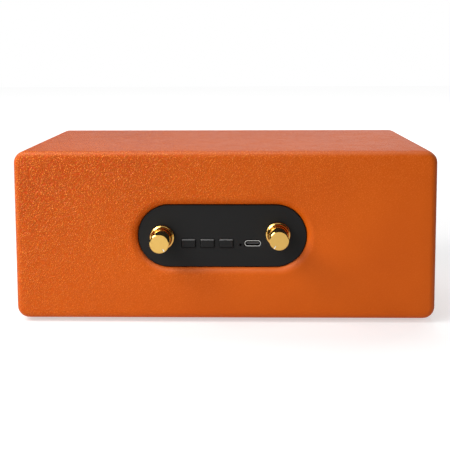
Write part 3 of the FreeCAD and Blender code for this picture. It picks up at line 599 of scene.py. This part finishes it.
def contactTree(material):  # a row of pads above the tongue and the same row below it
    tree = bpy.data.node_groups.new("contactPads", "GeometryNodeTree")
    face = tree.interface
    for name, kind in (("Count", "Int"), ("Pitch", "Float"), ("Pad", "Vector"), ("First", "Vector"),
                       ("Second", "Vector")):
        face.new_socket(name, in_out="INPUT", socket_type="NodeSocket" + kind)
    face.new_socket("Geometry", in_out="OUTPUT", socket_type="NodeSocketGeometry")
    given = tree.nodes.new("NodeGroupInput").outputs
    pad = addNode(tree, "GeometryNodeMeshCube", Size=given["Pad"])
    step = addNode(tree, "ShaderNodeCombineXYZ", X=given["Pitch"])
    both = addNode(tree, "GeometryNodeJoinGeometry")
    for start in ("First", "Second"):
        row = addNode(tree, "GeometryNodeMeshLine", Count=given["Count"], Start_Location=given[start],
                      Offset=step.outputs[0])
        laid = addNode(tree, "GeometryNodeInstanceOnPoints", Points=row.outputs[0], Instance=pad.outputs[0])
        tree.links.new(laid.outputs[0], both.inputs[0])
    solid = addNode(tree, "GeometryNodeRealizeInstances", Geometry=both.outputs[0])
    painted = addNode(tree, "GeometryNodeSetMaterial", Geometry=solid.outputs[0], Material=material)
    end = tree.nodes.new("NodeGroupOutput")
    tree.links.new(painted.outputs[0], end.inputs[0])
    return tree


padGold = bareMetal("goldFlashedContacts", "e3b765", 0.25, 0.2)
tongueLow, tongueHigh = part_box("usb_tongue")
socketX, _, socketZ = middle((tongueLow, tongueHigh))
padX = socketX - (contacts["count"] - 1) * contacts["pitch"] / 2
padY = tongueLow[1] + contacts["setBack"] + contacts["long"] / 2
padLift = contacts["halfTongue"] + contacts["thick"] / 2
grown("socketContacts", contactTree(padGold), {
    "Count": contacts["count"], "Pitch": contacts["pitch"],
    "Pad": (contacts["wide"], contacts["long"], contacts["thick"]),
    "First": (padX, padY, socketZ + padLift), "Second": (padX, padY, socketZ - padLift),
}, padGold, "cabinet", smooth=False)
print("socket contacts laid")

bending = {"sectors": 8, "steps": 6, "arc": 12}
driverRoll = {"centre": 23.75, "land": 29.6, "bore": 2.45, "skin": 0.6, "innerLand": 1.5,
              "bendFrom": 24.4, "bendTo": 21.3}  # mm from the axis
radiatorRoll = {"centre": 22.7, "land": 27.6, "bore": 2.45, "skin": 0.6, "innerLand": 1.5,
                "bendFrom": 23.4, "bendTo": 20.2}
spider = {"start": 11.6, "stop": 20.3, "ripples": 3, "height": 0.5, "sheet": 0.5, "hub": 10.05, "rim": 22.4,
          "below": 0.55, "bendFrom": 18.6, "bendTo": 12.0}


def rollProfile(shape):  # half-roll with a flat land each side, from the flange's face outwards
    centreR, landOut, skin, inner = shape["centre"], shape["land"], shape["skin"], shape["bore"]
    outer = inner + skin
    reach = math.sqrt(outer ** 2 - skin ** 2)
    lean = math.asin(skin / outer)
    points = [(landOut, 0.0)]
    points += [(centreR + inner * math.cos(math.pi * i / bending["arc"]),
                inner * math.sin(math.pi * i / bending["arc"])) for i in range(bending["arc"] + 1)]
    landIn = centreR - inner - shape["innerLand"]
    points += [(landIn, 0.0), (landIn, skin), (centreR - reach, skin)]
    for i in range(1, bending["arc"]):
        angle = math.pi - lean - (math.pi - 2 * lean) * i / bending["arc"]
        points.append((centreR + outer * math.cos(angle), outer * math.sin(angle)))
    return points + [(centreR + reach, skin), (landOut, skin)]


def rippleProfile(shape):  # corrugated sheet between two flat lands
    start, stop, ripples = shape["start"], shape["stop"], shape["ripples"]
    top = [(shape["hub"], 0.0)]
    steps = 8 * ripples
    for i in range(steps + 1):
        top.append((start + (stop - start) * i / steps,
                    shape["height"] * math.sin(2 * math.pi * ripples * i / steps)))
    top.append((shape["rim"], 0.0))
    return top[::-1] + [(r, y - shape["sheet"]) for r, y in top]


def bendingRing(label, profile, axis, faceY, node, material):  # a ring built as separate sectors, each its own piece
    turn = 2 * math.pi / bending["sectors"]
    for sector in range(bending["sectors"]):
        build = bmesh.new()
        slices = []
        for step in range(bending["steps"] + 1):
            angle = turn * (sector - 0.5 + step / bending["steps"])
            slices.append([build.verts.new((axis[0] + r * mm * math.cos(angle), faceY + y * mm,
                                            axis[1] + r * mm * math.sin(angle))) for r, y in profile])
        for first, second in zip(slices, slices[1:]):
            for i in range(len(profile)):
                j = (i + 1) % len(profile)
                build.faces.new((first[i], second[i], second[j], first[j]))
        build.faces.new(slices[0])
        build.faces.new(slices[-1][::-1])
        bmesh.ops.recalc_face_normals(build, faces=build.faces)
        mesh = bpy.data.meshes.new(label)
        build.to_mesh(mesh)
        build.free()
        piece = finishPiece(f"{label}{sector + 1}", mesh, material, body=None)
        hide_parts(node)
        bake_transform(piece)


for side in ("left", "right"):
    roll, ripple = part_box("surround_" + side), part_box("spider_" + side)
    x, _, z = middle(roll)
    bendingRing("surround" + side.title(), rollProfile(driverRoll), (x, z), roll[0][1],
                "surround_" + side, rollRubber)
    bendingRing("spider" + side.title(), rippleProfile(spider), (x, z),
                ripple[1][1] - spider["below"] * mm, "spider_" + side, resinCloth)
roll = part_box("radiator_surround")
x, _, z = middle(roll)
bendingRing("surroundRadiator", rollProfile(radiatorRoll), (x, z), roll[0][1],
            "radiator_surround", rollRubber)
print("bending rings made")

pointer = {"from": 3.2 * mm, "to": 4.95 * mm, "wide": 0.5 * mm, "sunk": 0.08 * mm, "deep": 0.25 * mm,
           "crown": 0.03 * mm, "inset": 0.12, "turn": 147.5}
# painted highlight: the knobs' notches are filled white where they catch the light
notchHighlightFill = coated("paintedNotchHighlight", "f6f3ea", 0.3, 0.4, 0.005)


def pointerLine(side, sign):  # a white fill laid into the knob's notch: a painted highlight where the notch catches the light
    low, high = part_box("knob_" + side)
    axisX, axisZ = (low[0] + high[0]) / 2, (low[2] + high[2]) / 2
    turn = math.radians(sign * pointer["turn"])
    along, across = (math.sin(turn), math.cos(turn)), (math.cos(turn), -math.sin(turn))
    half = pointer["wide"] / 2
    outline = []
    for middleR, first in ((pointer["from"] + half, 90), (pointer["to"] - half, -90)):
        for step in range(7):
            angle = math.radians(first + 30 * step)
            a, b = middleR + half * math.cos(angle), half * math.sin(angle)
            outline.append((axisX + a * along[0] + b * across[0], axisZ + a * along[1] + b * across[1], b))
    build = bmesh.new()
    rows = []
    for inset, depth in ((0.0, pointer["sunk"] + pointer["deep"]), (0.0, pointer["sunk"] + pointer["crown"]),
                         (pointer["inset"], pointer["sunk"])):
        rows.append([build.verts.new((x - b * inset * across[0], low[1] + depth, z - b * inset * across[1]))
                     for x, z, b in outline])
    for first, second in zip(rows, rows[1:]):
        for i in range(len(first)):
            j = (i + 1) % len(first)
            build.faces.new((first[i], first[j], second[j], second[i]))
    build.faces.new(rows[0])
    build.faces.new(rows[-1][::-1])
    bmesh.ops.recalc_face_normals(build, faces=build.faces)
    mesh = bpy.data.meshes.new("pointerLine" + side.title())
    build.to_mesh(mesh)
    build.free()
    finishPiece("pointerLine" + side.title(), mesh, notchHighlightFill, side + "_knob", smooth=False)


for side, sign in (("left", 1), ("right", -1)):
    pointerLine(side, sign)
print("pointer lines filled")

studio = {"floor": "c8c8c8", "floorHalf": 3.0, "glowNear": 0.52, "glowFar": 0.95, "glowFrom": 0.3,
          "glowTo": 1.6, "bounce": 0.35, "fill": 0.03, "aim": (0, 0, 0.05)}
lamps = {  # place in metres, size in metres, watts
    "keySoftbox": ((-0.42, -0.2, 0.42), 0.25, 2.0),
    "nearSoftbox": ((-0.25, -0.3, 0.42), 0.25, 1.0),
    "frontSoftbox": ((-0.45, -0.7, 0.25), 0.4, 1.9),
    "wideSoftbox": ((-0.1, -0.9, 0.4), 0.6, 1.0),
    "backSoftbox": ((0.0, 1.5, 0.55), 1.0, 3.0),
    "sideSoftbox": ((1.0, 1.2, 0.6), 0.8, 7),
    "highSoftbox": ((0.0, 0.7, 1.5), 0.8, 10.0),
}
camera = {"lens": 67.66, "sensor": 36.0, "shift": -0.2, "nearest": 0.01, "farthest": 30.0,
          "x": 10.35, "back": 451.7, "height": 148.88,  # mm, back from the rear face
          "down": 5.711, "left": 1.239, "roll": 0.216}  # degrees


def paperFloor():
    material, tree, surface = newMaterial("seamlessPaper", Base_Color=fromHex(studio["floor"]), Roughness=0.9)
    fibres = addNode(tree, "ShaderNodeTexNoise", Vector=place(tree), Scale=perMetre(1.5), Detail=2.0)
    bumps(tree, surface, fibres.outputs["Fac"], 0.02, 0.2)
    away = addNode(tree, "ShaderNodeVectorMath", {"operation": "LENGTH"}, i0=place(tree))
    glow = addNode(tree, "ShaderNodeMapRange", Value=away.outputs["Value"], From_Min=studio["glowFrom"],
                   From_Max=studio["glowTo"], To_Min=studio["glowNear"],
                   To_Max=studio["glowFar"])  # lit through from below, up to the horizon
    direct = addNode(tree, "ShaderNodeLightPath")
    share = addNode(tree, "ShaderNodeMapRange", Value=direct.outputs["Is Camera Ray"], To_Min=studio["bounce"])
    shown = addNode(tree, "ShaderNodeMath", {"operation": "MULTIPLY"}, i0=glow.outputs[0], i1=share.outputs[0])
    tree.links.new(shown.outputs[0], surface.inputs["Emission Strength"])
    surface.inputs["Emission Color"].default_value = (1, 1, 1, 1)
    half = studio["floorHalf"]
    mesh = bpy.data.meshes.new("paperFloor")
    corners = [(-half, -half, 0), (half, -half, 0), (half, half, 0), (-half, half, 0)]
    mesh.from_pydata(corners, [], [(0, 1, 2, 3)])
    mesh.materials.append(material)
    floor = bpy.data.objects.new("paperFloor", mesh)
    bpy.context.scene.collection.objects.link(floor)


def areaLight(name, stands, aim, size, power):  # a square softbox, turned to face its aim
    data = bpy.data.lights.new(name, "AREA")
    data.energy, data.size = power, size
    light = bpy.data.objects.new(name, data)
    bpy.context.scene.collection.objects.link(light)
    light.location = stands
    direction = np.array(aim) - np.array(stands)
    level = math.hypot(direction[0], direction[1])
    light.rotation_euler = (math.pi / 2 + math.atan2(direction[2], level), 0,
                            math.atan2(direction[1], direction[0]) - math.pi / 2)


def whiteWorld():  # the studio's white surround: full white behind the object, softer as a light
    world = bpy.data.worlds.new("whiteStudio")
    bpy.context.scene.world = world
    world.use_nodes = True
    tree = world.node_tree
    tree.nodes.clear()
    seen = addNode(tree, "ShaderNodeBackground", Color=(1, 1, 1, 1), Strength=1.0)
    lit = addNode(tree, "ShaderNodeBackground", Color=(1, 1, 1, 1), Strength=studio["fill"])
    direct = addNode(tree, "ShaderNodeLightPath")
    mixed = addNode(tree, "ShaderNodeMixShader", Fac=direct.outputs["Is Camera Ray"], i1=lit.outputs[0],
                    i2=seen.outputs[0])
    addNode(tree, "ShaderNodeOutputWorld", Surface=mixed.outputs[0])


paperFloor()
whiteWorld()
for name, (stands, size, power) in lamps.items():
    areaLight(name, stands, studio["aim"], size, power)
print("studio lit by", len(lamps), "softboxes")

view = bpy.data.cameras.new("studioCamera")
view.sensor_width, view.lens, view.shift_y = camera["sensor"], camera["lens"], camera["shift"]
view.clip_start, view.clip_end = camera["nearest"], camera["farthest"]
stand = bpy.data.objects.new("studioCamera", view)
bpy.context.scene.collection.objects.link(stand)
stand.location = (camera["x"] * mm, coverBox[0][1] - camera["back"] * mm, camera["height"] * mm)
stand.rotation_euler = [math.radians(angle) for angle in (90 - camera["down"], camera["roll"], camera["left"])]
bpy.context.scene.camera = stand
bpy.context.scene.view_settings.view_transform = "Standard"

print("scene ready")
